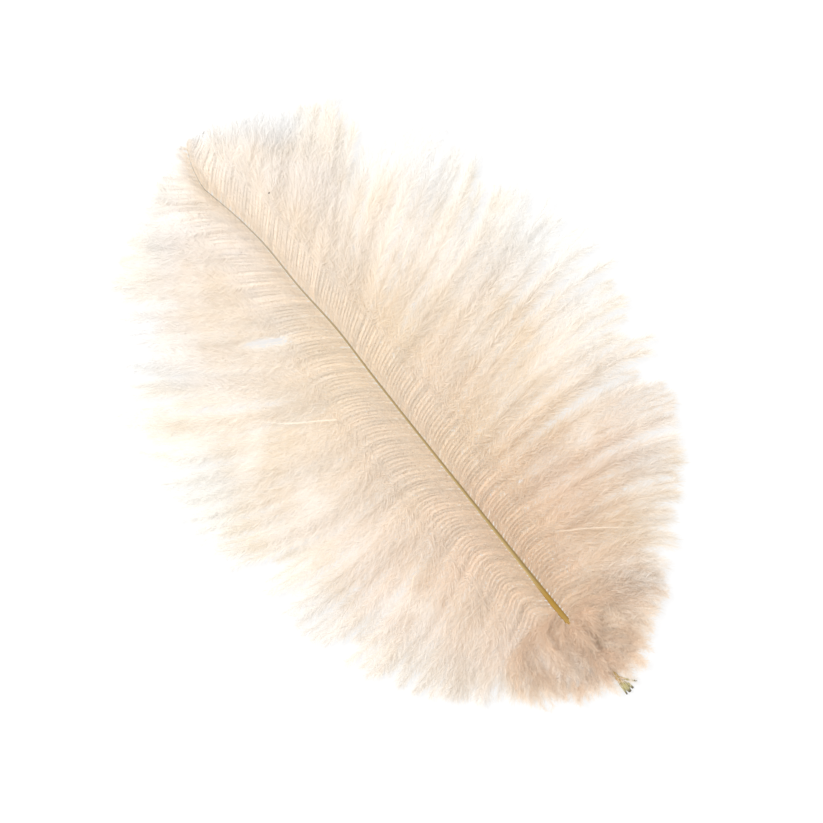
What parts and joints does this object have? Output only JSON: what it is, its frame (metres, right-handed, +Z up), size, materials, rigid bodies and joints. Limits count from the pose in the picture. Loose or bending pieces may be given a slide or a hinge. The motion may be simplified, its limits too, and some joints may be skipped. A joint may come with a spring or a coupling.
{
  "type": "ostrich feather",
  "caption": "Loose ostrich plume lying flat: a thin arched shaft with a soft cream vane down each side and darker down tangled over the cut quill.",
  "frame": {"origin": "middle of the feather's length and width, on the surface that it lies on", "axes": "+Y along the feather towards its tip, +X to the right-hand vane, +Z up from the surface"},
  "size_m": [0.1484, 0.2224, 0.0087],
  "materials": {
    "horn": "satin",
    "barbs": "matte",
    "down": "matte"
  },
  "bodies": {
    "root": {"shaft": "horn", "left_vane": "barbs", "right_vane": "barbs", "base_down": "down"}
  },
  "joints": []
}
